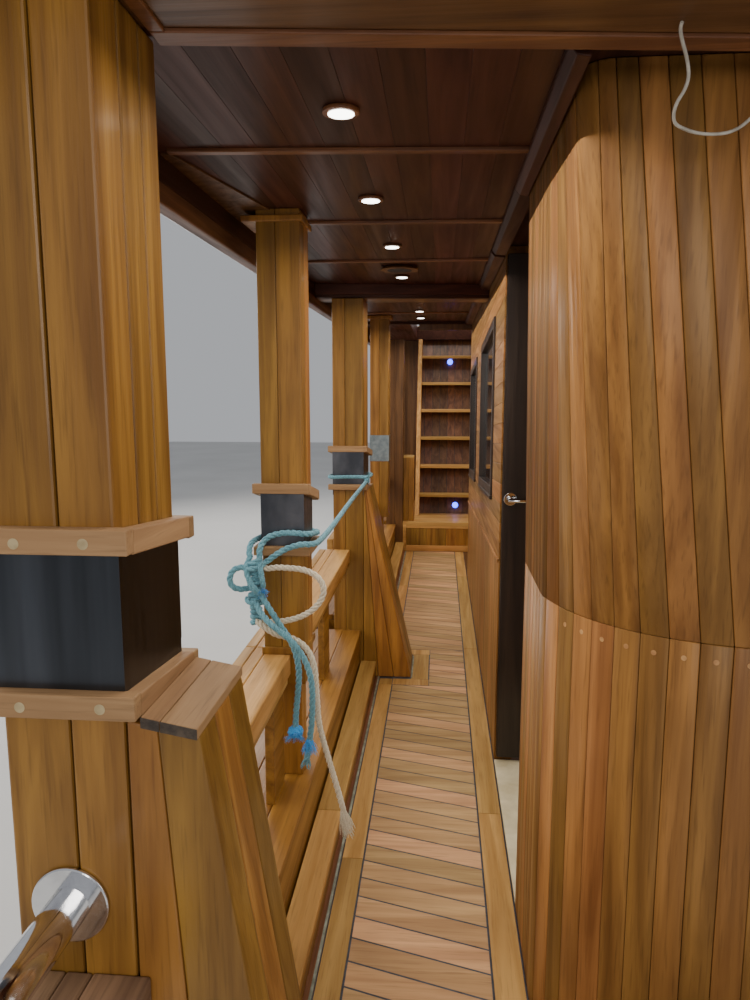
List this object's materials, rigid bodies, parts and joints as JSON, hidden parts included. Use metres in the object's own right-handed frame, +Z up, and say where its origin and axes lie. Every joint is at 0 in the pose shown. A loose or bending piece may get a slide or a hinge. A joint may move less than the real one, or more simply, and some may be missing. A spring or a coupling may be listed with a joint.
{
  "type": "covered side deck section of a wooden dhow",
  "caption": "Covered side deck of a wooden boat: planked walkway, posts with knees, cap rail, roof, round house corner, house wall with windows, hinged door and ladder.",
  "frame": {"origin": "middle of the section's box in plan, on the underside of the deck beams", "axes": "+Z up, +Y along the walkway towards the ladder, +X inboard towards the deckhouses"},
  "size_m": [1.8, 7.4, 2.35],
  "materials": {
    "varnished_teak": "satin varnish",
    "dark_teak": "worn varnish",
    "raw_teak": "bare, worn",
    "deck_teak": "bare, weathered, dark caulking",
    "mahogany_board": "glossy varnish",
    "beam_timber": "sawn",
    "black_paint": "dark stain",
    "stone_sill": "honed",
    "steel_sheet": "dull",
    "polished_steel": "polished",
    "dark_glass": "dark tint",
    "teal_rope": "braided, worn",
    "white_rope": "laid, three strands",
    "cable_skin": "smooth"
  },
  "bodies": {
    "section": {"deck_beams": "beam_timber", "waterway": "dark_teak", "margin_outboard": "raw_teak", "deck_planking": "deck_teak", "margin_inboard": "raw_teak", "house_floor": "beam_timber", "threshold": "stone_sill", "hull_planking": "dark_teak", "rub_rail": "dark_teak", "post_1": "varnished_teak", "post_1_band": "steel_sheet", "post_2": "varnished_teak", "post_2_band": "steel_sheet", "post_3": "varnished_teak", "post_3_band": "steel_sheet", "post_4": "varnished_teak", "post_4_band": "steel_sheet", "post_5": "varnished_teak", "knee_1": "varnished_teak", "knee_3": "varnished_teak", "knee_5": "varnished_teak", "bulwark_near": "varnished_teak", "step_fore": "raw_teak", "ledge_fore": "varnished_teak", "rail_fore": "raw_teak", "step_aft": "raw_teak", "ledge_aft": "varnished_teak", "rail_aft": "raw_teak", "bulwark_far": "varnished_teak", "hand_tube": "polished_steel", "beam_1": "mahogany_board", "beam_2": "mahogany_board", "ceiling": "mahogany_board", "fascia": "dark_teak", "upper_deck": "deck_teak", "near_wall_low": "varnished_teak", "near_wall_high": "varnished_teak", "near_house_back": "varnished_teak", "far_wall": "varnished_teak", "window_frame_1": "black_paint", "window_glass_1": "dark_glass", "window_frame_2": "black_paint", "window_glass_2": "dark_glass", "front_wall": "varnished_teak", "end_bulkhead": "dark_teak", "hinge_barrel": "steel_sheet", "platform": "raw_teak", "ladder": "raw_teak", "ladder_back": "varnished_teak", "mooring_line": "teal_rope", "post_loop": "teal_rope", "line_tail": "teal_rope", "line_end": "teal_rope", "white_loop": "white_rope", "white_tail": "white_rope", "lamp_cable": "cable_skin", "line_knot": "teal_rope"},
    "door": {"door_leaf": "black_paint", "hinge_leaf": "steel_sheet", "door_handle": "polished_steel"}
  },
  "joints": [
    {"name": "door_hinge", "type": "hinge", "parent": "section", "child": "door", "pos_m": [0.705, -1.614, 1.23], "axis": [0, 0, 1], "range_deg": [0, 90]}
  ]
}
